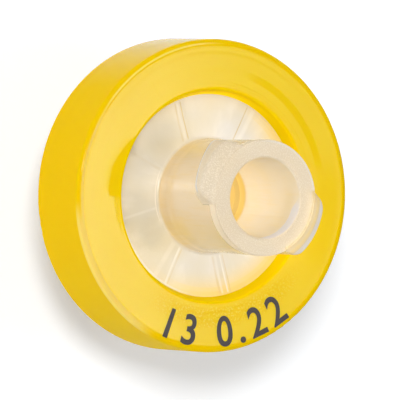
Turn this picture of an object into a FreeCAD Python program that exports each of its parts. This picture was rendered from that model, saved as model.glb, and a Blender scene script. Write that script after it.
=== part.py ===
import FreeCAD, Part
import math
import os
import Sketcher

# A 13 mm class syringe filter, in millimetres. Z runs along the flow, with the inlet at the top.
# The origin is the centre of the outlet tip's end, and the two luer lugs point along +X and -X.

doc = FreeCAD.newDocument("SyringeFilter")

# Sizes that can be set by themselves: alias, value, meaning.
drivingSizes = [
    ("ringDiameter", 16.9, "outside of the overmoulded ring"),
    ("ringWall", 1.35, "ring wall outside the housing flanges"),
    ("ringEdgeRound", 0.3, "round on the ring's outer edges"),
    ("lipHeight", 0.65, "ring lip above each disc, so the depth of each window"),
    ("lipReach", 1.62, "how far each lip laps over the flanges"),
    ("windowFlare", 0.26, "how much wider each window is at the ring's face than at the disc"),
    ("lipEdgeRound", 0.15, "round on each window's edge"),
    ("rimLand", 0.55, "rim where the two housings meet, outside the membrane"),
    ("membraneClearance", 0.05, "gap round the membrane's edge"),
    ("membraneThickness", 0.15, "thickness of the membrane"),
    ("sealLand", 0.5, "width of the land that grips the membrane's edge"),
    ("inletDiscThickness", 0.85, "inlet disc between its two faces"),
    ("inletRibHeight", 0.55, "height of the ribs that hold the membrane off the inlet disc"),
    ("inletRibWidth", 0.4, "width of those ribs"),
    ("ribStart", 0.5, "gap between the inlet port and the ribs' inner ends"),
    ("ribCount", 8, "ribs round the inlet disc, and channels round the outlet disc"),
    ("outletDiscThickness", 1.2, "outlet disc between its two faces"),
    ("ridgeHeight", 0.45, "height of the ridges that carry the membrane"),
    ("ridgeWidth", 0.45, "width of those ridges"),
    ("ridgeCount", 3, "ridges between the bore and the land"),
    ("channelWidth", 0.6, "width of the drain channels through the ridges"),
    ("portDiameter", 1.8, "port through the inlet disc"),
    ("socketMouthDiameter", 4.3, "luer socket at its mouth"),
    ("luerTaper", 0.06, "luer cone, as diameter over length"),
    ("socketFloor", 0.45, "thickness left under the socket"),
    ("mouthRound", 0.14, "round on the socket's mouth"),
    ("hubHeight", 6.05, "hub above the inlet disc"),
    ("footDiameter", 6.17, "thicker foot of the hub, where it meets the disc"),
    ("footHeight", 0.85, "foot above the disc"),
    ("footSlope", 0.3, "slope along the axis from the foot to the hub's neck"),
    ("neckDiameter", 6.08, "hub just above its foot"),
    ("hubTipDiameter", 6.24, "hub at its mouth"),
    ("footRound", 0.15, "round between the foot and the disc"),
    ("neckRound", 0.6, "rounds where the foot slopes in to the hub's neck"),
    ("hubTipRound", 0.04, "round on the hub's outer edge at its mouth"),
    ("lugDiameter", 7.82, "across the crests of the two lugs"),
    ("lugRootDrop", 0.05, "mouth to the front of a lug where it leaves the hub"),
    ("lugCrestDrop", 0.35, "mouth to the front of a lug at its crest"),
    ("lugCrestHeight", 0.75, "lug along the axis, at the middle of its crest"),
    ("lugLead", 5, "advance of the mating thread in one turn, which the lugs' backs follow"),
    ("lugFlankAngle", 25, "slope of the lugs' backs from hub to crest, in degrees"),
    ("lugCrestHalfAngle", 25, "half the arc that a lug's crest covers, in degrees"),
    ("lugRootHalfAngle", 36, "half the arc that a lug's root covers, in degrees"),
    ("lugCornerRound", 0.8, "round on a lug's corners, seen along the axis"),
    ("lugEdgeRound", 0.2, "round along the front edge of a lug's crest"),
    ("outletHeight", 9.25, "outlet disc above the tip's end"),
    ("coneLength", 7.8, "luer cone of the tip"),
    ("tipEndDiameter", 3.97, "luer cone at the tip's end"),
    ("tipBoreDiameter", 2.0, "bore through the tip"),
    ("tipEndRound", 0.25, "round on the tip's end"),
    ("bossWall", 0.55, "how far the boss behind the cone stands out from it"),
    ("bossRound", 0.3, "round between the boss and the disc, and on its shoulder"),
]

# Sizes and heights that follow from those, so that pieces that meet share one value.
derivedSizes = [
    ("ringRadius", "ringDiameter / 2"),
    ("flangeRadius", "ringRadius - ringWall"),
    ("windowFloorRadius", "flangeRadius - lipReach"),
    ("windowFaceRadius", "windowFloorRadius + windowFlare"),
    ("pocketRadius", "flangeRadius - rimLand"),
    ("membraneRadius", "pocketRadius - membraneClearance"),
    ("sealRadius", "membraneRadius - sealLand"),
    ("portRadius", "portDiameter / 2"),
    ("socketMouthRadius", "socketMouthDiameter / 2"),
    ("footRadius", "footDiameter / 2"),
    ("neckRadius", "neckDiameter / 2"),
    ("hubTipRadius", "hubTipDiameter / 2"),
    ("hubWallRadius", "(socketMouthRadius + hubTipRadius) / 2"),
    ("lugRadius", "lugDiameter / 2"),
    ("tipEndRadius", "tipEndDiameter / 2"),
    ("coneBaseRadius", "tipEndRadius + coneLength * luerTaper / 2"),
    ("bossRadius", "coneBaseRadius + bossWall"),
    ("tipBoreRadius", "tipBoreDiameter / 2"),
    ("ridgePitch", "(sealRadius - tipBoreRadius) / (ridgeCount + 1)"),
    ("tipEndLevel", "0"),
    ("ringBackLevel", "outletHeight - lipHeight"),
    ("outletInnerLevel", "outletHeight + outletDiscThickness"),
    ("membraneLowLevel", "outletInnerLevel + ridgeHeight"),
    ("membraneTopLevel", "membraneLowLevel + membraneThickness"),
    ("inletInnerLevel", "membraneTopLevel + inletRibHeight"),
    ("socketFloorLevel", "inletInnerLevel + socketFloor"),
    ("inletDiscLevel", "inletInnerLevel + inletDiscThickness"),
    ("ringFrontLevel", "inletDiscLevel + lipHeight"),
    ("footLevel", "inletDiscLevel + footHeight"),
    ("neckLevel", "footLevel + footSlope"),
    ("mouthLevel", "inletDiscLevel + hubHeight"),
    ("socketFloorRadius", "socketMouthRadius - (mouthLevel - socketFloorLevel) * luerTaper / 2"),
    ("lugRootFront", "mouthLevel - lugRootDrop"),
    ("lugCrestFront", "mouthLevel - lugCrestDrop"),
    ("lugFrontSlope", "(lugCrestDrop - lugRootDrop) / (lugRadius - hubTipRadius)"),
    ("lugWallRadius", "max(hubWallRadius; hubTipRadius - 0.8 * lugRootDrop / lugFrontSlope)"),
    ("lugWallFront", "lugRootFront + lugFrontSlope * (hubTipRadius - lugWallRadius)"),
    ("lugCrestBack", "lugCrestFront - lugCrestHeight"),
    ("lugCollarBack", "lugCrestBack - lugRadius / 2"),
]

sheet = doc.addObject("Spreadsheet::Sheet", "Sizes")
for row, (alias, value, meaning) in enumerate(drivingSizes, start=1):
    sheet.set(f"A{row}", meaning)
    sheet.set(f"B{row}", str(value))
    sheet.setAlias(f"B{row}", alias)
for row, (alias, formula) in enumerate(derivedSizes, start=len(drivingSizes) + 2):
    sheet.set(f"A{row}", alias)
    sheet.set(f"B{row}", "=" + formula)
    sheet.setAlias(f"B{row}", alias)
doc.recompute()


def size(alias):
    return float(sheet.get(alias))


def bind(feature, **formulas):
    """Ties properties to cells of the sheet, and returns the feature."""
    for name, formula in formulas.items():
        feature.setExpression(name, formula)
    return feature


def newBody(name):
    body = doc.addObject("PartDesign::Body", name)
    body.Label = name
    body.Placement = FreeCAD.Placement()
    return body


def origin(body, role):
    return next(item for item in body.Origin.OriginFeatures if item.Role == role)


def newSketch(body, name, plane, level=None):
    """A sketch on one of the body's own planes, raised to a level of the sheet if one is named."""
    sketch = body.newObject("Sketcher::SketchObject", name)
    sketch.AttachmentSupport = [(origin(body, plane), "")]
    sketch.MapMode = "FlatFace"
    if level:
        sketch.setExpression(".AttachmentOffset.Base.z", "Sizes." + level)
    return sketch


def drawOutline(sketch, corners):
    """A closed outline through corners, each held by two named distances from the sketch's origin."""
    points = []
    for name, across, up in corners:
        points.append(FreeCAD.Vector(sketch.evalExpression(across), sketch.evalExpression(up), 0))
    first = sketch.GeometryCount
    for start, end in zip(points, points[1:] + points[:1]):
        sketch.addGeometry(Part.LineSegment(start, end), False)
    for index, (name, across, up) in enumerate(corners):
        line = first + index
        following = first + (index + 1) % len(corners)
        sketch.addConstraint(Sketcher.Constraint("Coincident", line, 2, following, 1))
        for kind, formula, value in (
            ("DistanceX", across, points[index].x),
            ("DistanceY", up, points[index].y),
        ):
            constraint = sketch.addConstraint(Sketcher.Constraint(kind, -1, 1, line, 1, value))
            label = name + ("Across" if kind == "DistanceX" else "Up")
            sketch.renameConstraint(constraint, label)
            sketch.setExpression("Constraints." + label, formula)


def revolve(body, name, corners):
    """Material turned round the body's Z axis, from an outline of radius and height."""
    sketch = newSketch(body, name + "Profile", "XZ_Plane")
    drawOutline(sketch, [(label, "Sizes." + across, "Sizes." + up) for label, across, up in corners])
    feature = body.newObject("PartDesign::Revolution", name)
    feature.Profile = sketch
    feature.ReferenceAxis = (origin(body, "Z_Axis"), [""])
    feature.Angle = 360
    return feature


def roundEdges(body, name, radius, places):
    """Rounds the circular edges found at the given places, each a radius and a height of the sheet."""
    doc.recompute()
    base = body.Tip
    found = []
    for across, level in places:
        for index, edge in enumerate(base.Shape.Edges, start=1):
            curve = edge.Curve
            if not isinstance(curve, Part.Circle):
                continue
            sameRadius = abs(curve.Radius - size(across)) < 1e-4
            sameLevel = abs(curve.Center.z - size(level)) < 1e-4
            if sameRadius and sameLevel:
                found.append(f"Edge{index}")
    if not found:
        raise RuntimeError(f"{name} finds no edge to round")
    fillet = body.newObject("PartDesign::Fillet", name)
    fillet.Base = (base, found)
    return bind(fillet, Radius="Sizes." + radius)


def repeat(body, name, feature, count):
    """Copies a feature evenly round the body's Z axis."""
    pattern = body.newObject("PartDesign::PolarPattern", name)
    pattern.Originals = [feature]
    pattern.Axis = (origin(body, "Z_Axis"), [""])
    pattern.Angle = 360
    body.Tip = pattern
    return bind(pattern, Occurrences=count)


def roundLugs(body):
    """Rounds the upright corners of each lug's crest, and then the crest's front edge."""
    for name, radius in (("LugCornerRound", "lugCornerRound"), ("LugEdgeRound", "lugEdgeRound")):
        doc.recompute()
        base = body.Tip
        found = []
        for index, edge in enumerate(base.Shape.Edges, start=1):
            reaches = [math.hypot(vertex.X, vertex.Y) for vertex in edge.Vertexes]
            onCrest = all(abs(reach - size("lugRadius")) < 1e-4 for reach in reaches)
            upright = isinstance(edge.Curve, Part.Line)
            atFront = all(abs(vertex.Z - size("lugCrestFront")) < 1e-4 for vertex in edge.Vertexes)
            if onCrest and (upright if radius == "lugCornerRound" else atFront):
                found.append(f"Edge{index}")
        if not found:
            raise RuntimeError(f"{name} finds no edge to round")
        fillet = body.newObject("PartDesign::Fillet", name)
        fillet.Base = (base, found)
        bind(fillet, Radius="Sizes." + radius)


def makeRing():
    """The overmoulded ring: a C section that wraps both flanges and laps over each disc."""
    body = newBody("overmould_ring")
    revolve(
        body,
        "RingSection",
        [
            ("backOuter", "ringRadius", "ringBackLevel"),
            ("frontOuter", "ringRadius", "ringFrontLevel"),
            ("frontWindow", "windowFaceRadius", "ringFrontLevel"),
            ("inletLip", "windowFloorRadius", "inletDiscLevel"),
            ("inletSeat", "flangeRadius", "inletDiscLevel"),
            ("outletSeat", "flangeRadius", "outletHeight"),
            ("outletLip", "windowFloorRadius", "outletHeight"),
            ("backWindow", "windowFaceRadius", "ringBackLevel"),
        ],
    )
    outer = [("ringRadius", "ringBackLevel"), ("ringRadius", "ringFrontLevel")]
    windows = [("windowFaceRadius", "ringBackLevel"), ("windowFaceRadius", "ringFrontLevel")]
    roundEdges(body, "OuterRound", "ringEdgeRound", outer)
    roundEdges(body, "WindowRound", "lipEdgeRound", windows)
    return body


def makeInletHousing():
    """The inlet disc, its ribs, and the female luer lock hub with two lugs, in one moulding."""
    body = newBody("inlet_housing")

    # A collar the shape of the lugs' section, cut back to two lugs before the hub is added. Its
    # front is one straight slope, which runs on into the hub's wall and stops below the mouth.
    revolve(
        body,
        "LugCollar",
        [
            ("wallBack", "lugWallRadius", "lugCollarBack"),
            ("crestBack", "lugRadius", "lugCollarBack"),
            ("crestFront", "lugRadius", "lugCrestFront"),
            ("wallFront", "lugWallRadius", "lugWallFront"),
        ],
    )
    doc.recompute()
    sketch = newSketch(body, "BetweenLugsPlan", "XY_Plane")
    rootX = "Sizes.hubTipRadius * cos(Sizes.lugRootHalfAngle * 1 deg)"
    rootY = "Sizes.hubTipRadius * sin(Sizes.lugRootHalfAngle * 1 deg)"
    crestX = "Sizes.lugRadius * cos(Sizes.lugCrestHalfAngle * 1 deg)"
    crestY = "Sizes.lugRadius * sin(Sizes.lugCrestHalfAngle * 1 deg)"
    outerY = "Sizes.lugDiameter"
    drawOutline(
        sketch,
        [
            ("rightRoot", rootX, rootY),
            ("rightCrest", crestX, crestY),
            ("rightOuter", "2 * " + crestX, outerY),
            ("leftOuter", "-2 * " + crestX, outerY),
            ("leftCrest", "-" + crestX, crestY),
            ("leftRoot", "-" + rootX, rootY),
        ],
    )
    pocket = body.newObject("PartDesign::Pocket", "BetweenLugs")
    pocket.Profile = sketch
    pocket.Type = "ThroughAll"
    pocket.Reversed = True
    repeat(body, "BothSides", pocket, "2")

    # The back of each lug slopes round the hub with the thread, and from the hub to the crest.
    sketch = newSketch(body, "LugBackPlan", "YZ_Plane")
    reach = "Sizes.lugDiameter"
    middle = "Sizes.lugCrestBack - Sizes.lugRadius * tan(Sizes.lugFlankAngle * 1 deg)"
    rise = "Sizes.lugLead / pi"
    drawOutline(
        sketch,
        [
            ("thickEnd", "-" + reach, middle + " - " + rise),
            ("thickBelow", "-" + reach, "Sizes.lugCollarBack - " + reach),
            ("thinBelow", reach, "Sizes.lugCollarBack - " + reach),
            ("thinEnd", reach, middle + " + " + rise),
        ],
    )
    slant = body.newObject("PartDesign::Pocket", "LugBack")
    slant.Profile = sketch
    slant.Reversed = True
    bind(slant, Length="Sizes.lugDiameter", TaperAngle="Sizes.lugFlankAngle")
    repeat(body, "LugBacks", slant, "2")
    roundLugs(body)

    revolve(
        body,
        "DiscAndHub",
        [
            ("portLower", "portRadius", "inletInnerLevel"),
            ("landInner", "sealRadius", "inletInnerLevel"),
            ("landFace", "sealRadius", "membraneTopLevel"),
            ("rimLower", "flangeRadius", "membraneTopLevel"),
            ("rimUpper", "flangeRadius", "inletDiscLevel"),
            ("footLower", "footRadius", "inletDiscLevel"),
            ("footUpper", "footRadius", "footLevel"),
            ("neck", "neckRadius", "neckLevel"),
            ("hubTip", "hubTipRadius", "mouthLevel"),
            ("mouth", "socketMouthRadius", "mouthLevel"),
            ("socketEnd", "socketFloorRadius", "socketFloorLevel"),
            ("portUpper", "portRadius", "socketFloorLevel"),
        ],
    )
    roundEdges(body, "FootRound", "footRound", [("footRadius", "inletDiscLevel")])
    roundEdges(body, "NeckRound", "neckRound", [("footRadius", "footLevel"), ("neckRadius", "neckLevel")])
    roundEdges(body, "MouthRound", "mouthRound", [("socketMouthRadius", "mouthLevel")])
    roundEdges(body, "HubTipRound", "hubTipRound", [("hubTipRadius", "mouthLevel")])

    # One rib runs along +X, under a lug. Each ends inside the land that grips the membrane.
    sketch = newSketch(body, "RibPlan", "XY_Plane", "membraneTopLevel")
    ribInner = "Sizes.portRadius + Sizes.ribStart"
    ribOuter = "Sizes.sealRadius + Sizes.sealLand / 2"
    ribSide = "Sizes.inletRibWidth / 2"
    drawOutline(
        sketch,
        [
            ("innerRight", ribInner, "-" + ribSide),
            ("outerRight", ribOuter, "-" + ribSide),
            ("outerLeft", ribOuter, ribSide),
            ("innerLeft", ribInner, ribSide),
        ],
    )
    rib = body.newObject("PartDesign::Pad", "Rib")
    rib.Profile = sketch
    bind(rib, Length="Sizes.inletRibHeight")
    repeat(body, "Ribs", rib, "Sizes.ribCount")
    return body


def makeOutletHousing():
    """The outlet disc, its drain ridges, and the male luer slip tip, in one moulding."""
    body = newBody("outlet_housing")
    revolve(
        body,
        "DiscAndTip",
        [
            ("boreLower", "tipBoreRadius", "tipEndLevel"),
            ("tipEnd", "tipEndRadius", "tipEndLevel"),
            ("coneBase", "coneBaseRadius", "coneLength"),
            ("bossLower", "bossRadius", "coneLength"),
            ("bossRoot", "bossRadius", "outletHeight"),
            ("rimLower", "flangeRadius", "outletHeight"),
            ("rimUpper", "flangeRadius", "membraneTopLevel"),
            ("pocketUpper", "pocketRadius", "membraneTopLevel"),
            ("pocketLower", "pocketRadius", "membraneLowLevel"),
            ("landInner", "sealRadius", "membraneLowLevel"),
            ("drainOuter", "sealRadius", "outletInnerLevel"),
            ("boreUpper", "tipBoreRadius", "outletInnerLevel"),
        ],
    )
    roundEdges(body, "TipEndRound", "tipEndRound", [("tipEndRadius", "tipEndLevel")])
    shoulder = [("bossRadius", "coneLength"), ("bossRadius", "outletHeight")]
    roundEdges(body, "BossRound", "bossRound", shoulder)

    # Ridges evenly spaced from the bore to the land, each a ring.
    sketch = newSketch(body, "RidgeProfile", "XZ_Plane")
    for number in range(1, int(size("ridgeCount")) + 1):
        middle = f"Sizes.tipBoreRadius + {number} * Sizes.ridgePitch"
        drawOutline(
            sketch,
            [
                (f"innerLow{number}", middle + " - Sizes.ridgeWidth / 2", "Sizes.outletInnerLevel"),
                (f"outerLow{number}", middle + " + Sizes.ridgeWidth / 2", "Sizes.outletInnerLevel"),
                (f"outerTop{number}", middle + " + Sizes.ridgeWidth / 2", "Sizes.membraneLowLevel"),
                (f"innerTop{number}", middle + " - Sizes.ridgeWidth / 2", "Sizes.membraneLowLevel"),
            ],
        )
    ridges = body.newObject("PartDesign::Revolution", "Ridges")
    ridges.Profile = sketch
    ridges.ReferenceAxis = (origin(body, "Z_Axis"), [""])
    ridges.Angle = 360
    doc.recompute()

    # Channels through the ridges, which stop short of the land.
    sketch = newSketch(body, "ChannelPlan", "XY_Plane", "membraneLowLevel")
    channelOuter = "Sizes.sealRadius - Sizes.ridgePitch / 2 + Sizes.ridgeWidth / 4"
    channelSide = "Sizes.channelWidth / 2"
    drawOutline(
        sketch,
        [
            ("innerRight", "Sizes.tipBoreRadius", "-" + channelSide),
            ("outerRight", channelOuter, "-" + channelSide),
            ("outerLeft", channelOuter, channelSide),
            ("innerLeft", "Sizes.tipBoreRadius", channelSide),
        ],
    )
    channel = body.newObject("PartDesign::Pocket", "Channel")
    channel.Profile = sketch
    bind(channel, Length="Sizes.ridgeHeight")
    repeat(body, "Channels", channel, "Sizes.ribCount")
    return body


def makeMembrane():
    """A flat disc that lies on the ridges, gripped at its edge between the two lands."""
    disc = doc.addObject("Part::Cylinder", "membrane")
    disc.Label = "membrane"
    bind(disc, Radius="Sizes.membraneRadius", Height="Sizes.membraneThickness")
    disc.setExpression("Placement.Base.z", "Sizes.membraneLowLevel")
    return disc


def checkCuts(names):
    """Each cut must leave less material than the feature before it."""
    for name in names:
        cut = doc.getObject(name)
        before = cut.BaseFeature if hasattr(cut, "BaseFeature") else None
        if before is None or cut.Shape.Volume >= before.Shape.Volume - 1e-6:
            raise RuntimeError(f"{name} removes nothing")


pieces = [makeInletHousing(), makeOutletHousing(), makeMembrane(), makeRing()]
doc.recompute()
for item in doc.Objects:
    if "Invalid" in item.State or "Error" in item.State:
        raise RuntimeError(f"{item.Name} failed: {item.State}")
checkCuts(["BetweenLugs", "BothSides", "LugBack", "LugBacks", "Channel", "Channels"])

os.makedirs("parts", exist_ok=True)
for piece in pieces:
    shape = piece.Shape
    if shape.isNull() or not shape.isValid() or len(shape.Solids) != 1:
        raise RuntimeError(f"{piece.Label} isn't one valid solid")
    shape.exportStep(f"parts/{piece.Label}.step")
    print(piece.Label, "volume", round(shape.Volume, 3), "mm3, box", shape.BoundBox)
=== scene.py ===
import math

import bpy
import numpy as np
from mathutils import Matrix, Vector


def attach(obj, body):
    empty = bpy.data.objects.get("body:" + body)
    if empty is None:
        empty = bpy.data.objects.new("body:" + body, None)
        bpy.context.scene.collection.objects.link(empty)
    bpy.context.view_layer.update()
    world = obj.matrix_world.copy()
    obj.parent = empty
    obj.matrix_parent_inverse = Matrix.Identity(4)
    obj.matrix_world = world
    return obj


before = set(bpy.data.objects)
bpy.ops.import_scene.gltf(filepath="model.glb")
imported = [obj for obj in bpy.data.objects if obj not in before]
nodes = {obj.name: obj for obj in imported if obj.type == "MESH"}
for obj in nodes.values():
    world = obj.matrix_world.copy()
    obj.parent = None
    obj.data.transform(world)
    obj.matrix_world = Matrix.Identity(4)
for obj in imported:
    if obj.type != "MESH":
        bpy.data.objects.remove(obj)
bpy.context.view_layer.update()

# The frame is in metres. Notes, and the numbers in the dictionaries, are in millimetres and degrees.
mm = 0.001
scene = bpy.context.scene


# Radius and level of every point of a CAD piece.
def measure(name):
    mesh = nodes[name].data
    points = np.empty(len(mesh.vertices) * 3)
    mesh.vertices.foreach_get("co", points)
    points = points.reshape(-1, 3) / mm
    return np.hypot(points[:, 0], points[:, 1]), points[:, 2]


ringRadii, ringLevels = measure("overmould_ring")
ringRadius = float(ringRadii.max())
windowRadius = float(ringRadii.min())  # where each window's wall meets its disc
windowLevels = ringLevels[ringRadii < windowRadius + 0.01]
faceLevel = float(ringLevels.max())  # the ring's face on the inlet side
discLevel = float(windowLevels.max())  # the inlet disc
outletLevel = float(windowLevels.min())  # the outlet disc

inletRadii, inletLevels = measure("inlet_housing")
mouthLevel = float(inletLevels.max())
hubRadius = float(inletRadii[inletLevels > mouthLevel - 0.06].max())  # the hub's wall at the mouth
socketRadius = float(inletRadii[inletLevels > mouthLevel - 0.15].min())  # the socket's wall there
lugRadius = float(inletRadii[inletLevels > mouthLevel - 2].max())
print("syringe filter: frame loaded")


# A display colour, 0 to 255 a channel, as the linear colour that a shader takes.
def paint(red, green, blue):
    def linear(level):
        level /= 255
        return level / 12.92 if level <= 0.04045 else ((level + 0.055) / 1.055) ** 2.4
    return (linear(red), linear(green), linear(blue), 1)


# Small helpers for node trees.

# A node with its settings; each input is a plain value or another node's output.
def addNode(tree, kind, inputs=None, **settings):
    made = tree.nodes.new(kind)
    for name, value in settings.items():
        setattr(made, name, value)
    for name, value in (inputs or {}).items():
        fill(tree, made.inputs[name], value)
    return made


# Sets a socket to a plain value, or links another node's output to it.
def fill(tree, socket, value):
    if isinstance(value, bpy.types.NodeSocket):
        tree.links.new(value, socket)
    else:
        socket.default_value = value


# One Math node; returns its output.
def calc(tree, operation, *values):
    inputs = {index: value for index, value in enumerate(values)}
    return addNode(tree, "ShaderNodeMath", inputs, operation=operation).outputs[0]


# All the values multiplied together.
def product(tree, result, *others):
    for value in others:
        result = calc(tree, "MULTIPLY", result, value)
    return result


# The greatest of the values.
def highest(tree, result, *others):
    for value in others:
        result = calc(tree, "MAXIMUM", result, value)
    return result


# Runs smoothly from toLow to toHigh as value goes from low to high, where low may be the greater.
def ramp(tree, value, low, high, toLow=0.0, toHigh=1.0):
    inputs = {"Value": value, "From Min": low, "From Max": high, "To Min": toLow, "To Max": toHigh}
    return addNode(tree, "ShaderNodeMapRange", inputs, interpolation_type="SMOOTHSTEP").outputs["Result"]


# The first colour where factor is 0, the second where it is 1.
def blendColours(tree, factor, first, second):
    made = addNode(tree, "ShaderNodeMix", {0: factor, 6: first, 7: second}, data_type="RGBA")
    return made.outputs[2]


# Each colour laid over the last by its mask, in turn.
def layOver(tree, colour, *layers):
    for mask, over in layers:
        colour = blendColours(tree, mask, colour, over)
    return colour


# A starting value plus each mask times its share.
def addShares(tree, total, *parts):
    for mask, share in parts:
        total = calc(tree, "MULTIPLY_ADD", mask, share, total)
    return total


# An angle less its middle, brought to between -180 and 180 degrees.
def turnFrom(tree, angle, middle):
    return calc(tree, "WRAP", calc(tree, "SUBTRACT", angle, middle), 180.0, -180.0)


# A shader node group with named sockets; returns the tree, its inputs and its output node.
def newGroup(name, inputs, outputs):
    tree = bpy.data.node_groups.new(name, "ShaderNodeTree")
    for label, kind, value in inputs:
        socket = tree.interface.new_socket(name=label, in_out="INPUT", socket_type="NodeSocket" + kind)
        if value is not None:
            socket.default_value = value
    for label, kind in outputs:
        tree.interface.new_socket(name=label, in_out="OUTPUT", socket_type="NodeSocket" + kind)
    given = tree.nodes.new("NodeGroupInput").outputs
    result = tree.nodes.new("NodeGroupOutput")
    return tree, given, result


# Places a group in a material; spaces in socket names are left out of the keywords.
def useGroup(tree, group, **inputs):
    made = tree.nodes.new("ShaderNodeGroup")
    made.node_tree = group
    for socket in made.inputs:
        key = socket.name.replace(" ", "")
        key = key[0].lower() + key[1:]
        if key in inputs:
            fill(tree, socket, inputs[key])
    return made.outputs


# Shared effects.

# Where a point lies round the filter's axis. Radius is the root of x squared plus y squared, Angle is
# the turn from +X in degrees, and Height is z.
def makeAxisPlace():
    tree, given, result = newGroup(
        "axisPlace", [("Place", "Vector", None)],
        [("Radius", "Float"), ("Angle", "Float"), ("Height", "Float")])
    parts = addNode(tree, "ShaderNodeSeparateXYZ", {0: given["Place"]}).outputs
    squares = calc(tree, "ADD", product(tree, parts[0], parts[0]), product(tree, parts[1], parts[1]))
    tree.links.new(calc(tree, "SQRT", squares), result.inputs["Radius"])
    turn = calc(tree, "ARCTAN2", parts[1], parts[0])
    tree.links.new(calc(tree, "DEGREES", turn), result.inputs["Angle"])
    tree.links.new(parts[2], result.inputs["Height"])
    return tree


# 1 within Half Width of Centre, and down to 0 over Softness on both sides.
def makeSoftBand():
    tree, given, result = newGroup(
        "softBand",
        [("Value", "Float", 0), ("Centre", "Float", 0), ("Half Width", "Float", 1), ("Softness", "Float", 1)],
        [("Mask", "Float")])
    away = calc(tree, "ABSOLUTE", calc(tree, "SUBTRACT", given["Value"], given["Centre"]))
    end = calc(tree, "ADD", given["Half Width"], given["Softness"])
    tree.links.new(ramp(tree, away, given["Half Width"], end, 1.0, 0.0), result.inputs["Mask"])
    return tree


# 1 within Half Width degrees of Centre round the axis, and down to 0 over Softness degrees.
def makeSector():
    tree, given, result = newGroup(
        "sector",
        [("Angle", "Float", 0), ("Centre", "Float", 0), ("Half Width", "Float", 20),
         ("Softness", "Float", 20)],
        [("Mask", "Float")])
    away = calc(tree, "ABSOLUTE", turnFrom(tree, given["Angle"], given["Centre"]))
    end = calc(tree, "ADD", given["Half Width"], given["Softness"])
    tree.links.new(ramp(tree, away, given["Half Width"], end, 1.0, 0.0), result.inputs["Mask"])
    return tree


mouldedNoise = {
    "fine": {"Detail": 3.0, "Roughness": 0.6},
    "slow": {"Detail": 2.0, "Roughness": 0.5},
    "spread": (0.3, 0.7),
}


# The skin that a mould leaves: Grain is fine noise, and Cloud is slow noise spread over 0 to 1.
def makeMouldedGrain():
    tree, given, result = newGroup(
        "mouldedGrain",
        [("Place", "Vector", None), ("Grain Scale", "Float", 6), ("Cloud Scale", "Float", 0.4)],
        [("Grain", "Float"), ("Cloud", "Float")])
    fine = addNode(tree, "ShaderNodeTexNoise", {"Vector": given["Place"], "Scale": given["Grain Scale"],
                                                **mouldedNoise["fine"]})
    slow = addNode(tree, "ShaderNodeTexNoise", {"Vector": given["Place"], "Scale": given["Cloud Scale"],
                                                **mouldedNoise["slow"]})
    tree.links.new(fine.outputs[0], result.inputs["Grain"])
    tree.links.new(ramp(tree, slow.outputs[0], *mouldedNoise["spread"]), result.inputs["Cloud"])
    return tree


axisPlace = makeAxisPlace()
softBand = makeSoftBand()
sector = makeSector()
mouldedGrain = makeMouldedGrain()
print("shared effects made")


# Mask of a soft band: its middle, half width and softness.
def bandMask(tree, value, band):
    centre, halfWidth, softness = band
    return useGroup(tree, softBand, value=value, centre=centre, halfWidth=halfWidth,
                    softness=softness)["Mask"]


# Mask of one side of the filter: its middle, half width and softness in degrees.
def sideMask(tree, at, side):
    centre, halfWidth, softness = side
    return useGroup(tree, sector, angle=at["angle"], centre=centre, halfWidth=halfWidth,
                    softness=softness)["Mask"]


# 1 where the radius and the level are both past their ramps: the two ramps multiplied.
def region(tree, at, radii, levels):
    return product(tree, ramp(tree, at["radius"], *radii), ramp(tree, at["level"], *levels))


# How far a point lies aside of a course round the axis, in mm: the turn in radians times the radius.
def asideFrom(tree, at, course):
    return product(tree, calc(tree, "RADIANS", turnFrom(tree, at["angle"], course)), at["radius"])


# Moulded grain at the given fine and slow scales.
def grainAt(tree, place, scales):
    fine, slow = scales
    return useGroup(tree, mouldedGrain, place=place, grainScale=fine, cloudScale=slow)


# The sine and cosine of the angle, so that noise has no seam round the axis.
def circlePoint(tree, at):
    turn = calc(tree, "RADIANS", at["angle"])
    return calc(tree, "SINE", turn), calc(tree, "COSINE", turn)


# A Principled material with plain settings. Returns the material, its tree, its shader, and a
# dictionary of what its masks are made from: the place in mm and its radius, angle and level.
def startMaterial(name, settings):
    material = bpy.data.materials.new(name)
    material.use_nodes = True
    tree = material.node_tree
    shader = tree.nodes["Principled BSDF"]
    for label, value in settings.items():
        shader.inputs[label].default_value = value
    coordinates = addNode(tree, "ShaderNodeTexCoord").outputs["Object"]
    toMillimetres = {"Vector": coordinates, "Scale": (1 / mm, 1 / mm, 1 / mm)}
    place = addNode(tree, "ShaderNodeMapping", toMillimetres).outputs[0]
    spot = useGroup(tree, axisPlace, place=place)
    at = {"place": place, "radius": spot["Radius"], "angle": spot["Angle"], "level": spot["Height"]}
    return material, tree, shader, at


# Links an output to one of the shader's inputs.
def feed(tree, output, shader, label):
    tree.links.new(output, shader.inputs[label])


# Dents the surface by up to depth where height goes from 1 to 0.
def bump(tree, shader, height, depth):
    made = addNode(tree, "ShaderNodeBump", {"Height": height, "Distance": depth * mm})
    feed(tree, made.outputs[0], shader, "Normal")


# Light that the plastic carries and gives off: a share of its own colour.
def giveOff(tree, shader, colour, share):
    made = addNode(tree, "ShaderNodeVectorMath", {0: colour, "Scale": share}, operation="SCALE")
    feed(tree, made.outputs[0], shader, "Emission Color")


# The yellow ring.

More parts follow.
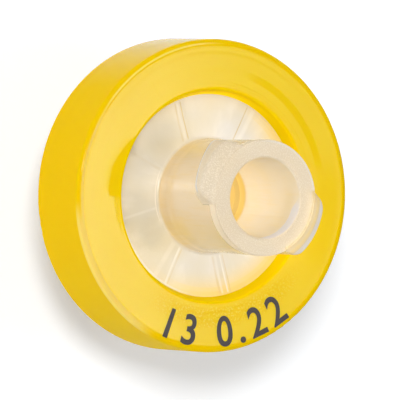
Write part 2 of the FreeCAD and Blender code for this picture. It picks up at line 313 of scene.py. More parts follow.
# A pair of radii or levels is where a mask starts and where it is whole; two more values are what it
# runs from and to. A band or a side is its middle, half width and softness.
ringLook = {
    "yellow": paint(241, 205, 0),
    "paleYellow": paint(244, 211, 6),
    "brightLine": paint(250, 222, 110),
    "wall": paint(245, 196, 0),
    "deepYellow": paint(239, 201, 0),
    "fleck": paint(234, 188, 0),
    "paleRim": paint(241, 209, 106),
    "rimYellow": paint(238, 196, 0),
    "windowYellow": paint(246, 206, 0),
    "shader": {
        "IOR": 1.49, "Specular IOR Level": 0.0, "Coat Roughness": 0.14, "Coat IOR": 1.49,
        "Subsurface Weight": 0.5, "Subsurface Radius": (0.4, 0.3, 0.03), "Subsurface Scale": mm,
        "Emission Strength": 1.0,
    },
    "grainScales": (1.6, 0.25),
    "paleShare": 0.5,
    "faceLevels": (faceLevel - 0.1, faceLevel - 0.02),
    "wallLevels": (faceLevel - 0.15, faceLevel - 0.3),
    "wallRadii": (ringRadius - 0.15, ringRadius - 0.05),
    "rimRadii": (ringRadius - 0.39, ringRadius - 0.3),
    "rimLevels": (faceLevel - 0.3, faceLevel - 0.2),
    "paleSide": (-118, 20, 12),
    "besideSide": (-152, 26, 10),
    "besideRadii": (ringRadius - 0.18, ringRadius - 0.24),
    "rimEdge": (ringRadius - 0.11, ringRadius - 0.05, 0.0, 0.6),
    "windowRadii": (windowRadius + 0.45, windowRadius + 0.39),
    "windowLevels": (discLevel - 0.05, discLevel),
    # A ragged patch by the window, deeper yellow and less glossy: the angle of its longest reach, the turns
    # before and after it, how ragged it is, and how far it reaches
    "patch": {"angle": -165, "before": (-26, 0), "after": (15.8, 13.4), "ragged": 0.12,
              "start": windowRadius + 0.08, "reach": 0.93, "edge": (-0.015, 0.015)},
    # inset from the ring's radius, half width, softness; middle, half length and softness in degrees;
    # depth
    "turnedLines": (
        (2.29, 0.012, 0.03, 78, 26, 12, 1.0),
        (2.45, 0.02, 0.03, 80, 35, 15, 0.6),
        (2.09, 0.02, 0.06, 70, 30, 20, 0.3),
        (1.65, 0.17, 0.1, 70, 20, 20, 1.0),
        (1.25, 0.4, 0.5, 20, 12, 20, 0.7),
        (0.33, 0.02, 0.03, 140, 18, 16, 1.0),
        (0.47, 0.015, 0.04, 135, 20, 15, 0.5),
        (0.73, 0.03, 0.12, 120, 40, 30, 0.5),
        (2.43, 0.02, 0.03, -147, 12, 8, 1.0),
        (2.3, 0.012, 0.03, -148, 9, 5, 1.0),
    ),
    "flow": {"angle": 152, "width": (0.0, 0.008, 0.035), "radii": (ringRadius - 1.25, 0.8, 0.2),
             "strength": (0.4, 0.6, 0.2, 0.8)},
    "streaks": {"outwards": 8.0, "round": 3.0, "scales": (1.0, 0.4), "noise": (0.48, 0.64)},
    "mottleScales": (9.0, 1.1),
    "grainedSide": (-52, 26, 26),
    "grainedBelt": (ringRadius - 1.9, 0.35, 0.4),
    "grained": (0.4, 0.56, 1.0, 0.0),
    "glint": (0.56, 0.66, 0.0, 0.35),
    "flecks": (0.62, 0.7),
    "shares": {"line": 0.85, "streak": 0.3, "fleck": 0.25, "grained": 0.6},
    "edgeLine": {"radii": (ringRadius - 0.235, 0.025, 0.04), "side": (148, 18, 16),
                 "levels": (faceLevel - 0.15, faceLevel - 0.1)},
    "roughness": (0.3, 0.7, 0.3, 0.4),
    "litSide": (165, 50, 50),
    "litLevels": (faceLevel - 0.15, faceLevel - 0.4),
    "litShare": 0.35,
    "wallLight": (ringRadius - 0.15, ringRadius - 0.05, 0.0, 0.035),
    "flatFrom": (windowRadius + 0.36, windowRadius + 0.42),
    "flatTo": (ringRadius - 0.35, ringRadius - 0.4),
    "glossFace": 0.85,
    "glossWall": 0.06,
    "glossEdge": 0.12,
    "glossPolished": 0.95,
    "glossLoss": 0.95,
    "polishedSide": (112, 14, 48),
    "grainHeight": 0.35,
    "lineHeight": 0.4,
    "bumpDepth": 0.01,
}


# The ring's colour: yellow, paler with the slow noise, then the wall, the rim, painted sheen on part of the
# rim with a painted highlight along its edge, and the window's wall, each laid over by its mask.
def ringColour(tree, at, look, grain, window):
    rim = region(tree, at, look["rimRadii"], look["rimLevels"])
    # Painted sheen: part of the rim is as pale as the face, and beside it only the rim's inner half is.
    inner = ramp(tree, at["radius"], *look["besideRadii"])
    beside = product(tree, sideMask(tree, at, look["besideSide"]), inner)
    paleRim = product(tree, rim, highest(tree, sideMask(tree, at, look["paleSide"]), beside))
    # A painted highlight along the sheen's outer edge.
    edge = product(tree, paleRim, ramp(tree, at["radius"], *look["rimEdge"]))
    return layOver(
        tree, look["yellow"],
        (product(tree, grain["Cloud"], look["paleShare"]), look["paleYellow"]),
        (ramp(tree, at["level"], *look["wallLevels"]), look["wall"]),
        (calc(tree, "SUBTRACT", rim, paleRim), look["rimYellow"]),
        (paleRim, look["paleRim"]),
        (edge, look["brightLine"]),
        (window, look["windowYellow"]))


# A ragged patch by the disc's rim: the radius is less than a start, plus noise, plus a reach
# that grows with the angle and then stops.
def raggedPatch(tree, at, patch, grain):
    low, high = patch["before"]
    turn = turnFrom(tree, at["angle"], patch["angle"])
    rise = addNode(tree, "ShaderNodeMapRange", {"Value": turn, "From Min": low, "From Max": high}).outputs[0]
    gone = product(tree, rise, ramp(tree, turn, *patch["after"]))
    reach = addShares(tree, patch["start"], (grain["Grain"], patch["ragged"]), (gone, patch["reach"]))
    return ramp(tree, calc(tree, "SUBTRACT", reach, at["radius"]), *patch["edge"])


# The mould's marks: the deepest of its turned lines, each a band of the radius times a side times a
# depth, and of one faint line outwards, where two fronts of the plastic met.
def mouldLines(tree, at, look, grain):
    lines = []
    for inset, halfWidth, softness, middle, halfLength, endSoftness, depth in look["turnedLines"]:
        band = bandMask(tree, at["radius"], (ringRadius - inset, halfWidth, softness))
        lines.append(product(tree, band, sideMask(tree, at, (middle, halfLength, endSoftness)), depth))
    flow = look["flow"]
    lines.append(product(tree, bandMask(tree, asideFrom(tree, at, flow["angle"]), flow["width"]),
                         bandMask(tree, at["radius"], flow["radii"]),
                         ramp(tree, grain["Grain"], *flow["strength"])))
    return highest(tree, *lines)


# Fine streaks round the face: noise that changes with the radius far more than along the turn.
def roundStreaks(tree, at, streaks):
    sine, cosine = circlePoint(tree, at)
    place = addNode(tree, "ShaderNodeCombineXYZ", {0: product(tree, at["radius"], streaks["outwards"]),
                                                   1: product(tree, sine, streaks["round"]),
                                                   2: product(tree, cosine, streaks["round"])}).outputs[0]
    return ramp(tree, grainAt(tree, place, streaks["scales"])["Grain"], *streaks["noise"])


# The coat's weight. The flat face is polished, the wall less so, and the rounded rim and the window's
# edge least; what is deep takes the gloss away.
def ringGloss(tree, at, look, face, deep):
    flat = product(tree, ramp(tree, at["radius"], *look["flatFrom"]),
                   ramp(tree, at["radius"], *look["flatTo"]), face)
    gloss = addShares(tree, look["glossEdge"], (flat, look["glossFace"] - look["glossEdge"]))
    gloss = calc(tree, "SUBTRACT", gloss, product(tree, deep, look["glossFace"] * look["glossLoss"]))
    polished = sideMask(tree, at, look["polishedSide"])
    wallGloss = addShares(tree, look["glossWall"], (polished, look["glossPolished"] - look["glossWall"]))
    wall = region(tree, at, look["wallRadii"], look["wallLevels"])
    return highest(tree, gloss, product(tree, wall, wallGloss))


# The yellow plastic: its own colour under the mould's marks, with light given off at the window's wall
# and outside, and a coat where it is polished.
def makeRingMaterial(look):
    material, tree, shader, at = startMaterial("yellowRing", look["shader"])
    grain = grainAt(tree, at["place"], look["grainScales"])
    face = ramp(tree, at["level"], *look["faceLevels"])
    window = region(tree, at, look["windowRadii"], look["windowLevels"])
    colour = ringColour(tree, at, look, grain, window)

    patch = product(tree, raggedPatch(tree, at, look["patch"], grain), face)
    lines = product(tree, mouldLines(tree, at, look, grain), face)
    streak = product(tree, roundStreaks(tree, at, look["streaks"]), face)
    # A grained stretch beside the print with painted glints, and a few deeper flecks elsewhere.
    mottle = grainAt(tree, at["place"], look["mottleScales"])["Grain"]
    stretch = product(tree, sideMask(tree, at, look["grainedSide"]),
                      bandMask(tree, at["radius"], look["grainedBelt"]), face)
    glint = product(tree, stretch, ramp(tree, mottle, *look["glint"]))
    grained = product(tree, stretch, ramp(tree, mottle, *look["grained"]))
    fleck = product(tree, ramp(tree, mottle, *look["flecks"]), face)
    shares = look["shares"]
    deep = highest(tree, product(tree, lines, shares["line"]), product(tree, streak, shares["streak"]),
                   grained, patch)
    fleck = highest(tree, product(tree, fleck, shares["fleck"]), product(tree, grained, shares["grained"]))
    # A thin painted highlight near the rim on one side.
    edgeLine = look["edgeLine"]
    line = product(tree, bandMask(tree, at["radius"], edgeLine["radii"]),
                   sideMask(tree, at, edgeLine["side"]), ramp(tree, at["level"], *edgeLine["levels"]))
    colour = layOver(tree, colour, (deep, look["deepYellow"]), (fleck, look["fleck"]),
                     (glint, look["brightLine"]), (line, look["brightLine"]))
    feed(tree, colour, shader, "Base Color")
    feed(tree, ramp(tree, grain["Grain"], *look["roughness"]), shader, "Roughness")

    # Light carried in the plastic comes out at the bottom of the window's wall.
    lit = product(tree, sideMask(tree, at, look["litSide"]), window,
                  ramp(tree, at["level"], *look["litLevels"]), look["litShare"])
    giveOff(tree, shader, colour, highest(tree, lit, ramp(tree, at["radius"], *look["wallLight"])))
    feed(tree, ringGloss(tree, at, look, face, deep), shader, "Coat Weight")
    height = calc(tree, "SUBTRACT", product(tree, grain["Grain"], look["grainHeight"]),
                  product(tree, lines, look["lineHeight"]))
    bump(tree, shader, height, look["bumpDepth"])
    return material


# The housings.

# Pairs, bands and sides are written as for the ring.
housingLook = {
    "cream": paint(251, 246, 237),
    "warmCream": paint(251, 243, 224),
    "discCream": paint(231, 228, 224),
    "discWarm": paint(231, 224, 208),
    "amber": paint(250, 224, 140),
    "deepAmber": paint(250, 216, 96),
    "greyCream": paint(212, 203, 180),
    "frosted": paint(232, 219, 196),
    "frostedLug": paint(222, 210, 188),
    "frostedSide": paint(250, 239, 220),
    "frostedLine": paint(222, 226, 232),
    "speck": paint(255, 246, 230),
    "edgeWhite": paint(246, 248, 252),
    "lugCream": paint(223, 197, 130),
    "lugAmber": paint(243, 207, 102),
    "lugEdge": paint(220, 214, 209),
    "crescent": paint(217, 225, 252),
    "socketEnd": paint(172, 145, 78),
    "hubShade": paint(228, 206, 170),
    "ribLight": paint(255, 252, 244),
    "ribShade": paint(214, 188, 134),
    "shader": {"IOR": 1.49, "Transmission Weight": 0.4, "Emission Strength": 1.0},
    "lampTint": (1.0, 0.995, 0.98, 1),
    "lampShare": 1.0,
    "grainScales": (9.0, 0.5),

    # The hub and the disc
    "discLevels": (discLevel + 0.17, discLevel + 0.05),
    "outside": (socketRadius + 0.15, socketRadius + 0.45),
    "drag": {"stretch": (1.0, 1.0, 0.08), "scales": (5.5, 0.9), "noise": (0.5, 0.66),
             "strength": (0.0, 1.0, 0.1, 0.25)},
    "dull": {"side": (-165, 32, 45), "strength": 0.45},
    "low": {"side": (-80, 50, 40), "strength": 0.22},
    "rays": {"outwards": 0.12, "scales": (3.0, 1.2),
             "dark": (0.5, 0.7, 0.0, 0.2), "light": (0.5, 0.32, 0.0, 0.3)},
    "edgeGlow": (windowRadius - 1.58, windowRadius + 0.22, 0.0, 0.95),
    "glowSide": (0.0, 1.0, 0.12, 1.0),
    "nearSide": (0, 50, 60),
    "farSide": (-125, 20, 40),
    # inset from the window's radius, half width and softness of each painted line round the disc's edge;
    # colour, side, strength
    "brims": (
        (0.4, 0.04, 0.12, "amber", "nearSide", 0.6),
        (0.12, 0.1, 0.15, "deepAmber", "nearSide", 0.55),
        (0.08, 0.02, 0.05, "edgeWhite", "farSide", 0.7),
    ),
    "ribRun": (hubRadius + 0.18, windowRadius - 0.18),
    "ribFrom": (hubRadius + 0.08, hubRadius + 0.28),
    "ribTo": (windowRadius - 0.03, windowRadius - 0.18),
    "ribCloud": (0.2, 0.8, 0.7, 1.0),
    # Painted highlights and shade on the rib edges seen through the disc: angle at the hub and at the disc's
    # edge, half width, softness, colour, strength
    "ribLines": (
        (141.0, 138.6, 0.01, 0.05, "ribShade", 1.0),
        (144.0, 140.8, 0.03, 0.08, "ribLight", 0.5),
        (147.0, 142.2, 0.01, 0.07, "ribShade", 0.45),
        (91.6, 91.9, 0.01, 0.05, "ribShade", 0.85),
        (86.0, 87.5, 0.05, 0.15, "ribLight", 0.4),
        (-92.3, -89.9, 0.035, 0.045, "ribLight", 1.0),
        (-89.6, -88.3, 0.01, 0.05, "ribShade", 0.5),
        (-100.0, -98.0, 0.06, 0.15, "ribLight", 0.4),
        (-55.0, -51.8, 0.02, 0.07, "ribShade", 0.45),
        (-52.2, -50.2, 0.03, 0.06, "ribLight", 0.45),
        (-47.2, -46.4, 0.025, 0.045, "ribLight", 0.9),
        (-44.3, -44.6, 0.012, 0.04, "ribShade", 0.6),
        (-176.0, -177.0, 0.02, 0.1, "ribShade", 0.2),
        (-139.0, -137.5, 0.02, 0.1, "ribLight", 0.3),
        (-3.0, -2.4, 0.02, 0.05, "ribLight", 0.8),
        (1.0, 0.4, 0.012, 0.05, "ribShade", 0.6),
        (42.5, 43.0, 0.02, 0.05, "ribLight", 0.8),
        (46.5, 46.0, 0.012, 0.05, "ribShade", 0.6),
    ),
    # angle, half width and softness in degrees; lowest and highest rise over the disc; strength of
    # each amber tint of painted light from the ring
    "amberTints": (
        (-108, 8, 22, 0.25, 1.85, 0.55),
        (-85, 20, 30, 1.75, 5.55, 0.4),
        (135, 14, 24, 0.35, 5.55, 0.6),
    ),
    "tintInset": 0.4,
    "tintSoftness": 1.2,
    # angle, radius, size and strength of each grey patch of painted shade on the disc
    "greySpots": ((160, 4.2, 1.1, 0.8), (-122, 3.9, 0.9, 0.7), (-150, 4.4, 0.8, 0.3)),
    "spotEdge": (1.4, 0.4),
    "foot": {"radii": (hubRadius + 0.15, 0.01, 0.03), "side": (-152, 16, 14),
             "levels": (discLevel + 0.3, discLevel + 0.2, 0.0, 0.7)},

    # The socket
    "socket": (socketRadius + 0.15, socketRadius + 0.05),
    "deepLevels": (discLevel + 0.85, discLevel + 0.55),
    "deepShare": 0.9,
    "endLevels": (discLevel + 0.25, discLevel + 0.05),
    "litLevels": (discLevel + 4.55, discLevel + 0.15),
    "crescentSide": (-20, 30, 26),
    "crescentDrop": -0.6,
    "crescentLevel": mouthLevel - 0.05,
    "crescentEdge": (-0.03, 0.03),

    # The lugs and the mouth
    "lugLevels": (mouthLevel - 2.3, mouthLevel - 2.1),
    "clearSide": (0, 35, 4),
    "clearRadii": (hubRadius - 0.42, hubRadius - 0.07, 0.0, 0.85),
    "amberBand": (lugRadius - 0.49, 0.04, 0.12),
    "crestRadii": (lugRadius - 0.37, lugRadius - 0.29),
    "crestEdge": (lugRadius - 0.17, lugRadius - 0.07),
    "mouthLevels": (mouthLevel - 0.75, mouthLevel - 0.55),
    "mouthRadii": (socketRadius - 0.05, socketRadius + 0.1),
    "blastedLug": (hubRadius + 0.01, hubRadius + 0.06),
    "blastedSide": (0.0, -0.5),  # x
    "sparkleScales": (14.0, 3.0),
    "sparkle": (0.46, 0.66, 0.0, 0.7),
    "onLug": (hubRadius - 0.12, hubRadius + 0.28),
    # The blasted slope starts at a radius and a level, and falls by a share of the radius; the walls
    # below it are paler
    "slopeRadius": hubRadius - 0.02,
    "slopeLevel": mouthLevel - 0.03,
    "slope": -0.4,
    "wallBelow": (0.02, 0.1),
    "wallOnLug": (0.0, 1.0, 1.0, 0.45),
    "litBelow": (0.08, 0.17),
    # The back edge of the lug's crest: its angle, its level there, the thread's pitch, the width of
    # the line, and the radii where it comes up
    "backEdge": {"angle": 180, "level": mouthLevel - 1.1, "pitch": 5, "width": (0.03, 0.05, 0.06),
                 "radii": (lugRadius - 0.16, lugRadius - 0.06)},
    "mouthLine": {"radii": (hubRadius - 0.08, 0.02, 0.06), "side": (60, 40, 30), "strength": 0.5},

    # Light given off, roughness, alpha and height
    "brimRadii": (windowRadius - 0.48, windowRadius + 0.02),
    "lit": {"all": 0.006, "socket": 0.055, "brim": 0.03, "end": 0.8, "crescent": 0.1, "wall": 0.06},
    "smooth": 0.14,
    "blastedRough": 0.4,
    "socketRough": 0.6,
    "clearLugFade": -0.25,
    "grainHeight": 0.25,
    "bumpDepth": 0.02,

    # The outlet
    "outletGlow": ((windowRadius - 1.08, windowRadius + 0.12), (outletLevel - 0.25, outletLevel - 0.05)),
    "outletGlowShare": 0.7,
    "outletLit": 0.008,
    "outletRoughness": (0.3, 0.7, 0.18, 0.26),
    "outletBump": 0.005,
}


# Lamp rays pass the plastic, so that what lies behind it is lit as in the clear material.
def letLampsThrough(tree, shader, look):
    clear = addNode(tree, "ShaderNodeBsdfTransparent", {"Color": look["lampTint"]})
    lampRay = addNode(tree, "ShaderNodeLightPath").outputs["Is Shadow Ray"]
    share = product(tree, lampRay, look["lampShare"])
    both = addNode(tree, "ShaderNodeMixShader", {0: share, 1: shader.outputs[0], 2: clear.outputs[0]})
    tree.links.new(both.outputs[0], tree.nodes["Material Output"].inputs["Surface"])


# The plastic's colour: cream with amber drag lines on the hub, their amber painted light from the ring, the
# disc's cream where the level is low, painted shade on two sides, and painted highlight and shade in rays
# out through the disc from noise that changes with the angle far more than outwards.
def inletColour(tree, at, look, grain, disc):
    outside = ramp(tree, at["radius"], *look["outside"])
    # Drag lines run up the hub, the way it was drawn out of the mould; their amber is painted light from the
    # ring.
    drag = look["drag"]
    drawn = addNode(tree, "ShaderNodeMapping", {"Vector": at["place"], "Scale": drag["stretch"]}).outputs[0]
    dragged = ramp(tree, grainAt(tree, drawn, drag["scales"])["Grain"], *drag["noise"])
    # Painted shade: the disc is greyer on that side, and the hub a little darker.
    dull = product(tree, sideMask(tree, at, look["dull"]["side"]), outside, look["dull"]["strength"])
    # Painted shade on another side of the disc.
    low = product(tree, sideMask(tree, at, look["low"]["side"]), disc, look["low"]["strength"])
    # Painted highlight and shade in rays through the disc.
    rays = look["rays"]
    sine, cosine = circlePoint(tree, at)
    outwards = product(tree, at["radius"], rays["outwards"])
    spread = addNode(tree, "ShaderNodeCombineXYZ", {0: sine, 1: cosine, 2: outwards}).outputs[0]
    ray = grainAt(tree, spread, rays["scales"])["Grain"]
    return layOver(
        tree, look["cream"],
        (grain["Cloud"], look["warmCream"]),
        (product(tree, dragged, ramp(tree, outside, *drag["strength"])), look["amber"]),
        (disc, blendColours(tree, grain["Cloud"], look["discCream"], look["discWarm"])),
        (dull, blendColours(tree, disc, look["hubShade"], look["greyCream"])),
        (low, look["greyCream"]),
        (product(tree, ramp(tree, ray, *rays["dark"]), disc), look["greyCream"]),
        (product(tree, ramp(tree, ray, *rays["light"]), disc), look["ribLight"]))


# Painted light: yellow shines in from the ring round the disc's edge, more on the near side, under thin
# painted lines of ring light and one painted highlight, each a band of the radius times a side times a
# strength.
def discEdge(tree, at, look, disc):
    sides = {name: sideMask(tree, at, look[name]) for name in ("nearSide", "farSide")}
    glow = product(tree, disc, ramp(tree, at["radius"], *look["edgeGlow"]),
                   ramp(tree, sides["nearSide"], *look["glowSide"]))
    layers = [(glow, look["amber"])]
    for inset, halfWidth, softness, name, side, strength in look["brims"]:
        band = bandMask(tree, at["radius"], (windowRadius - inset, halfWidth, softness))
        layers.append((product(tree, band, sides[side], disc, strength), look[name]))
    return layers


# The ribs under the disc show through it as thin lines of painted highlight and painted shade: a band about
# a course whose angle runs evenly from the hub to the disc's edge, between two radii, fainter where the cloud
# is low.
def discRibs(tree, at, look, grain, disc):
    shown = product(tree, ramp(tree, at["radius"], *look["ribFrom"]),
                    ramp(tree, at["radius"], *look["ribTo"]), disc,
                    ramp(tree, grain["Cloud"], *look["ribCloud"]))
    start, end = look["ribRun"]
    fromHub = calc(tree, "SUBTRACT", at["radius"], start)
    layers = []
    for atHub, atEdge, halfWidth, softness, name, strength in look["ribLines"]:
        course = addShares(tree, atHub, (fromHub, (atEdge - atHub) / (end - start)))
        line = bandMask(tree, asideFrom(tree, at, course), (0.0, halfWidth, softness))
        layers.append((product(tree, line, shown, strength), look[name]))
    return layers


# Amber tints of painted light from the ring, each a side times a band of levels; grey patches of painted
# shade, each fading with the distance from its middle; and a painted highlight at the hub's foot, a band of
# the radius on one side.
def inletPatches(tree, at, look):
    layers = []
    for angle, halfWidth, softness, low, high, strength in look["amberTints"]:
        band = (discLevel + (low + high) / 2, (high - low) / 2 - look["tintInset"], look["tintSoftness"])
        tint = product(tree, sideMask(tree, at, (angle, halfWidth, softness)),
                       bandMask(tree, at["level"], band), strength)
        layers.append((tint, look["amber"]))
    for angle, radius, size, strength in look["greySpots"]:
        turn = math.radians(angle)
        centre = (radius * math.cos(turn), radius * math.sin(turn), discLevel)
        away = addNode(tree, "ShaderNodeVectorMath", {0: at["place"], 1: centre}, operation="DISTANCE")
        far, near = (size * share for share in look["spotEdge"])
        layers.append((product(tree, ramp(tree, away.outputs["Value"], far, near), strength),
                       look["greyCream"]))
    # A painted highlight at the hub's foot.
    foot = look["foot"]
    layers.append((product(tree, bandMask(tree, at["radius"], foot["radii"]),
                           sideMask(tree, at, foot["side"]), ramp(tree, at["level"], *foot["levels"])),
                   look["speck"]))
    return layers


# A pale crescent of painted highlight on the socket's wall below the mouth: above a level that dips
# towards the middle of one side, times that side and the socket.
def socketCrescent(tree, at, look, socket):
    side = sideMask(tree, at, look["crescentSide"])
    edge = addShares(tree, look["crescentLevel"], (side, look["crescentDrop"]))
    above = ramp(tree, calc(tree, "SUBTRACT", at["level"], edge), *look["crescentEdge"])
    return product(tree, above, side, socket)


# The skin of the blasted part: frosted, paler on the upright walls below its slope as painted light, with
# specks from fine noise, a thin cool painted highlight along the back edge of the lug's crest, which climbs
# with the thread, and a white painted highlight round part of the mouth.
def blastedSkin(tree, at, look, below, onLug, sparkle):
    paler = product(tree, ramp(tree, below, *look["wallBelow"]), ramp(tree, onLug, *look["wallOnLug"]))
    back = look["backEdge"]
    climb = turnFrom(tree, at["angle"], back["angle"])
    level = addShares(tree, back["level"], (climb, back["pitch"] / 360))
    behind = calc(tree, "SUBTRACT", at["level"], level)
    edge = product(tree, bandMask(tree, behind, back["width"]), ramp(tree, at["radius"], *back["radii"]))
    mouth = look["mouthLine"]
    mouthLine = product(tree, bandMask(tree, at["radius"], mouth["radii"]),
                        sideMask(tree, at, mouth["side"]), mouth["strength"])
    return layOver(
        tree, look["frosted"],
        (onLug, look["frostedLug"]),
        (paler, look["frostedSide"]),
        (ramp(tree, sparkle, *look["sparkle"]), look["speck"]),
        (edge, look["frostedLine"]),
        (mouthLine, look["edgeWhite"]))


# The inlet housing: clear plastic with light from the ring in it, one clear lug, and a blasted mouth
# and lug.
def makeInletMaterial(look):
    material, tree, shader, at = startMaterial("naturalInlet", look["shader"])
    grain = grainAt(tree, at["place"], look["grainScales"])
    sparkle = grainAt(tree, at["place"], look["sparkleScales"])["Grain"]
    disc = ramp(tree, at["level"], *look["discLevels"])
    socket = ramp(tree, at["radius"], *look["socket"])
    colour = inletColour(tree, at, look, grain, disc)
    colour = layOver(tree, colour, *discEdge(tree, at, look, disc),
                     *discRibs(tree, at, look, grain, disc), *inletPatches(tree, at, look))

    # Deep in the socket the ring's yellow shines through the wall.
    deep = product(tree, socket, ramp(tree, at["level"], *look["deepLevels"]), look["deepShare"])
    socketEnd = product(tree, socket, ramp(tree, at["level"], *look["endLevels"]))
    # The lug on the +X side is clear and amber, with a whitish band along its crest.
    lugLevel = ramp(tree, at["level"], *look["lugLevels"])
    clearLug = product(tree, sideMask(tree, at, look["clearSide"]),
                       ramp(tree, at["radius"], *look["clearRadii"]), lugLevel)
    inside = product(tree, clearLug, bandMask(tree, at["radius"], look["amberBand"]))
    crest = product(tree, clearLug, ramp(tree, at["radius"], *look["crestRadii"]))
    # A painted highlight along the crest's outer edge.
    outermost = product(tree, crest, ramp(tree, at["radius"], *look["crestEdge"]))
    crescent = socketCrescent(tree, at, look, socket)

    # The mouth and the lug on the -X side came out of a blasted part of the mould.
    across = addNode(tree, "ShaderNodeSeparateXYZ", {0: at["place"]}).outputs[0]
    lug = product(tree, ramp(tree, at["radius"], *look["blastedLug"]),
                  ramp(tree, across, *look["blastedSide"]), lugLevel)
    blasted = product(tree, highest(tree, ramp(tree, at["level"], *look["mouthLevels"]), lug),
                      ramp(tree, at["radius"], *look["mouthRadii"]),
                      calc(tree, "SUBTRACT", 1.0, clearLug))
    # Upright walls take less light than the slope in front of them, and are paler.
    beyond = highest(tree, calc(tree, "SUBTRACT", at["radius"], look["slopeRadius"]), 0.0)
    slope = addShares(tree, look["slopeLevel"], (beyond, look["slope"]))
    below = calc(tree, "SUBTRACT", slope, at["level"])
    onLug = ramp(tree, at["radius"], *look["onLug"])
    colour = layOver(
        tree, colour,
        (deep, look["deepAmber"]),
        (socketEnd, look["socketEnd"]),
        (clearLug, look["lugCream"]),
        (inside, look["lugAmber"]),
        (crest, look["lugEdge"]),
        (outermost, look["frostedLine"]),
        (crescent, look["crescent"]),
        (blasted, blastedSkin(tree, at, look, below, onLug, sparkle)))
    feed(tree, colour, shader, "Base Color")

    # Light that the ring sends into the plastic comes out again, most at the socket's end.
    lit = look["lit"]
    inSocket = product(tree, socket, ramp(tree, at["level"], *look["litLevels"]))
    atBrim = product(tree, ramp(tree, at["radius"], *look["brimRadii"]), disc)
    upright = product(tree, blasted, ramp(tree, below, *look["litBelow"]), lit["wall"])
    share = addShares(tree, lit["all"], (inSocket, lit["socket"]), (atBrim, lit["brim"]),
                      (socketEnd, lit["end"]), (crescent, lit["crescent"]),
                      (upright, calc(tree, "SUBTRACT", 1.0, onLug)))
    giveOff(tree, shader, colour, share)
    # The socket's wall and end are duller than the outside, and the blasted part is the dullest.
    rough = highest(tree, blasted, product(tree, socket, look["socketRough"]))
    feed(tree, addShares(tree, look["smooth"], (rough, look["blastedRough"])), shader, "Roughness")
    seeThrough = product(tree, clearLug, calc(tree, "SUBTRACT", 1.0, crest))
    feed(tree, addShares(tree, 1.0, (seeThrough, look["clearLugFade"])), shader, "Alpha")
    height = calc(tree, "ADD", product(tree, sparkle, blasted),
                  product(tree, grain["Grain"], look["grainHeight"]))
    bump(tree, shader, height, look["bumpDepth"])
    letLampsThrough(tree, shader, look)
    return material


# The outlet housing: cream, with painted amber light towards the ring, and giving off a little of its own
# colour.
def makeOutletMaterial(look):
    material, tree, shader, at = startMaterial("naturalOutlet", look["shader"])
    grain = grainAt(tree, at["place"], look["grainScales"])
    glow = product(tree, region(tree, at, *look["outletGlow"]), look["outletGlowShare"])
    colour = layOver(tree, look["cream"], (grain["Cloud"], look["warmCream"]), (glow, look["amber"]))
    feed(tree, colour, shader, "Base Color")
    feed(tree, ramp(tree, grain["Grain"], *look["outletRoughness"]), shader, "Roughness")
    giveOff(tree, shader, colour, look["outletLit"])
    bump(tree, shader, grain["Grain"], look["outletBump"])
    letLampsThrough(tree, shader, look)
    return material


# The membrane.

membraneLook = {
    "white": paint(246, 242, 232),
    "shade": paint(236, 230, 216),
    "shader": {"IOR": 1.45, "Specular IOR Level": 0.3, "Subsurface Weight": 0.4,
               "Subsurface Radius": (0.5, 0.5, 0.4), "Subsurface Scale": mm},
    "grainScales": (40.0, 1.0),
    "roughness": (0.0, 1.0, 0.7, 0.82),
    "bumpDepth": 0.01,
}


# A matt surface with fine grain: its colour runs between two with the fine noise, and its roughness
# with the slow noise. The membrane and the ink both have it.
def makeMattMaterial(name, look, first, second):
    material, tree, shader, at = startMaterial(name, look["shader"])
    grain = grainAt(tree, at["place"], look["grainScales"])
    feed(tree, blendColours(tree, grain["Grain"], look[first], look[second]), shader, "Base Color")
    feed(tree, ramp(tree, grain["Cloud"], *look["roughness"]), shader, "Roughness")
    bump(tree, shader, grain["Grain"], look["bumpDepth"])
    return material


finishes = {
    "overmould_ring": makeRingMaterial(ringLook),
    "inlet_housing": makeInletMaterial(housingLook),
    "outlet_housing": makeOutletMaterial(housingLook),
    "membrane": makeMattMaterial("filterMembrane", membraneLook, "white", "shade"),
}
for name, material in finishes.items():
    nodes[name].data.materials[0] = material
print("materials given")


# The rating printed on the ring's face.

printLook = {
    "text": "13 0.22",
    "size": 2.3,
    "spacing": 1.28,
    "bolder": 0.036,
    "curveSteps": 6,
    "baseline": ringRadius - 0.32,
    "start": -86.5,
    "level": faceLevel,
    "thickness": 0.012,
    "ink": paint(54, 48, 49),
    "thinInk": paint(68, 61, 60),
    "shader": {"Specular IOR Level": 0.4},
    "grainScales": (14.0, 2.0),
    "roughness": (0.0, 1.0, 0.42, 0.6),
    "bumpDepth": 0.004,
}


# Flat letters bent round the axis: the angle is the start plus x over the baseline's radius, and the
# radius is the baseline's less y.
def makePrint(look):
    words = bpy.data.curves.new("ratingPrint", "FONT")
    words.body = look["text"]
    words.size = look["size"]
    words.space_character = look["spacing"]
    words.extrude = look["thickness"] / 2
    words.offset = look["bolder"]
    words.resolution_u = look["curveSteps"]
    holder = bpy.data.objects.new("ratingPrint", words)
    scene.collection.objects.link(holder)
    mesh = bpy.data.meshes.new_from_object(holder.evaluated_get(bpy.context.evaluated_depsgraph_get()))
    bpy.data.objects.remove(holder)
    points = np.empty(len(mesh.vertices) * 3)
    mesh.vertices.foreach_get("co", points)
    points = points.reshape(-1, 3)
    reach = look["baseline"] - points[:, 1]
    turn = np.radians(look["start"]) + points[:, 0] / look["baseline"]
    height = look["level"] + points[:, 2] + look["thickness"] / 2
    points = np.stack((reach * np.cos(turn), reach * np.sin(turn), height), axis=1) * mm
    mesh.vertices.foreach_set("co", points.ravel())
    mesh.update()
    piece = bpy.data.objects.new("ratingPrint", mesh)
    scene.collection.objects.link(piece)
    mesh.materials.clear()
    mesh.materials.append(makeMattMaterial("printInk", look, "ink", "thinInk"))
    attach(piece, "root")


makePrint(printLook)
print("rating printed")


# Floor, light and camera.

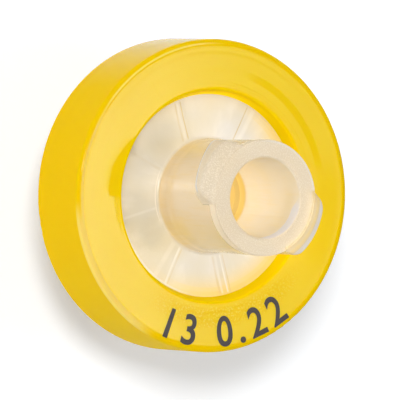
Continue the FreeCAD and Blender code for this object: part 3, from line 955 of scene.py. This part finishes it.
studio = {
    "floorSize": 3000,
    "floorColour": (0.915, 0.94, 0.98, 1),
    "floorGlow": 0.19,
    "worldLight": 0.4,
    "worldSeen": 1.0,
    "keyFrom": (-0.5855, -0.0935, 1),
    "key": {"distance": 1000, "size": 150, "power": 5.4, "target": (0, 0, 12)},
    "fillFrom": (-0.1, -1, 0.35),
    "fill": {"distance": 600, "size": 350, "power": 0.25, "target": (0, 0, 12)},
    "sheen": {"distance": 150, "size": 44, "power": 0.02, "target": (-25, -13, faceLevel)},
}


# The pale floor: it takes the filter's shadow, and glows a little for the camera only.
def makeFloor(setup):
    half = setup["floorSize"] * mm / 2
    corners = [(-half, -half, 0), (half, -half, 0), (half, half, 0), (-half, half, 0)]
    mesh = bpy.data.meshes.new("floor")
    mesh.from_pydata(corners, [], [(0, 1, 2, 3)])
    floor = bpy.data.objects.new("floor", mesh)
    scene.collection.objects.link(floor)
    material = bpy.data.materials.new("paleFloor")
    material.use_nodes = True
    tree = material.node_tree
    tree.nodes.clear()
    matt = addNode(tree, "ShaderNodeBsdfDiffuse", {"Color": setup["floorColour"]})
    seen = addNode(tree, "ShaderNodeLightPath").outputs["Is Camera Ray"]
    glow = addNode(tree, "ShaderNodeEmission", {"Strength": product(tree, seen, setup["floorGlow"])})
    both = addNode(tree, "ShaderNodeAddShader", {0: matt.outputs[0], 1: glow.outputs[0]})
    addNode(tree, "ShaderNodeOutputMaterial", {"Surface": both.outputs[0]})
    mesh.materials.append(material)


# An even white room: plain light on the filter, and pure white where it is seen or mirrored.
def makeWorld(setup):
    world = bpy.data.worlds.new("studio")
    scene.world = world
    world.use_nodes = True
    tree = world.node_tree
    tree.nodes.clear()
    path = addNode(tree, "ShaderNodeLightPath").outputs
    seen = highest(tree, path["Is Camera Ray"], path["Is Glossy Ray"], path["Is Transmission Ray"])
    strength = addNode(tree, "ShaderNodeMapRange", {"Value": seen, "To Min": setup["worldLight"],
                                                    "To Max": setup["worldSeen"]}).outputs[0]
    glow = addNode(tree, "ShaderNodeBackground", {"Color": (1, 1, 1, 1), "Strength": strength})
    addNode(tree, "ShaderNodeOutputWorld", {"Surface": glow.outputs[0]})


# A square soft light that faces its target, at its distance from it in the given direction.
def makePanel(name, direction, lamp):
    data = bpy.data.lights.new(name, "AREA")
    data.shape = "SQUARE"
    data.size = lamp["size"] * mm
    data.energy = lamp["power"]
    panel = bpy.data.objects.new(name, data)
    scene.collection.objects.link(panel)
    towards = Vector(direction).normalized()
    panel.location = (Vector(lamp["target"]) + towards * lamp["distance"]) * mm
    panel.rotation_mode = "QUATERNION"
    panel.rotation_quaternion = towards.to_track_quat("Z", "Y")
    panel.visible_camera = False


view = {
    "right": (0.7466, 0.4264, 0.5107),
    "up": (-0.4847, 0.8744, -0.0215),
    "target": (0, 0, faceLevel),
    "offset": (-0.737, -0.228),
    "distance": 491.56,
    "lens": 821.4,
    "sensor": 36,
    "clip": (50, 5000),
}


# A long lens that looks down the hub at a slant, from the target plus the offset across and up plus the
# distance back; returns the direction back from what it looks at.
def makeCamera(setup):
    right = Vector(setup["right"]).normalized()
    up = Vector(setup["up"])
    up = (up - up.dot(right) * right).normalized()
    back = right.cross(up)
    data = bpy.data.cameras.new("camera")
    data.lens = setup["lens"]
    data.sensor_width = setup["sensor"]
    near, far = setup["clip"]
    data.clip_start = near * mm
    data.clip_end = far * mm
    camera = bpy.data.objects.new("camera", data)
    scene.collection.objects.link(camera)
    across, rise = setup["offset"]
    place = Matrix((right, up, back)).transposed().to_4x4()
    shift = across * right + rise * up + setup["distance"] * back
    place.translation = (Vector(setup["target"]) + shift) * mm
    camera.matrix_world = place
    scene.camera = camera
    return back


scene.view_settings.view_transform = "Standard"
makeFloor(studio)
makeWorld(studio)
back = makeCamera(view)
makePanel("keyLight", studio["keyFrom"], studio["key"])
makePanel("fillLight", studio["fillFrom"], studio["fill"])
# The sheen light stands where the face mirrors it towards the camera.
makePanel("sheenLight", (-back.x, -back.y, back.z), studio["sheen"])
print("floor, light and camera set")
